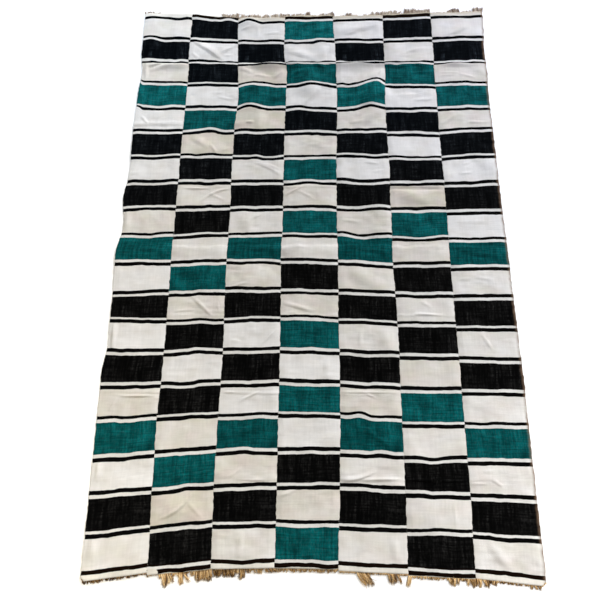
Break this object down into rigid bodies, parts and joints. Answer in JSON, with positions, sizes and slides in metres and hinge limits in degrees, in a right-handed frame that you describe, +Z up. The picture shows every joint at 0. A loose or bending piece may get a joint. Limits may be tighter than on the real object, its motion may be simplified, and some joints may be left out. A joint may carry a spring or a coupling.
{
  "type": "strip-woven cotton blanket",
  "caption": "Handwoven cotton blanket lying flat: narrow chequered strips sewn side by side, with low storage creases and frayed warp ends.",
  "frame": {"origin": "on the underside of the middle strip, at the middle of the blanket's length and width, on the surface the blanket lies on", "axes": "+X across the strips towards strip 7, +Y along the warp towards the head end, +Z up from the blanket's face"},
  "size_m": [1.4126, 2.1705, 0.0154],
  "materials": {
    "strip_cotton": "matt handwoven cotton, weft-faced, in off-white, black and deep green blocks",
    "warp_fringe": "frayed raw cotton warp, cream to light brown"
  },
  "bodies": {
    "root": {"strip_1": "strip_cotton", "strip_2": "strip_cotton", "strip_3": "strip_cotton", "strip_4": "strip_cotton", "strip_5": "strip_cotton", "strip_6": "strip_cotton", "strip_7": "strip_cotton", "fringe_head_1": "warp_fringe", "fringe_head_2": "warp_fringe", "fringe_head_3": "warp_fringe", "fringe_head_4": "warp_fringe", "fringe_head_5": "warp_fringe", "fringe_head_6": "warp_fringe", "fringe_head_7": "warp_fringe", "fringe_foot_1": "warp_fringe", "fringe_foot_2": "warp_fringe", "fringe_foot_3": "warp_fringe", "fringe_foot_4": "warp_fringe", "fringe_foot_5": "warp_fringe", "fringe_foot_6": "warp_fringe", "fringe_foot_7": "warp_fringe"}
  },
  "joints": []
}
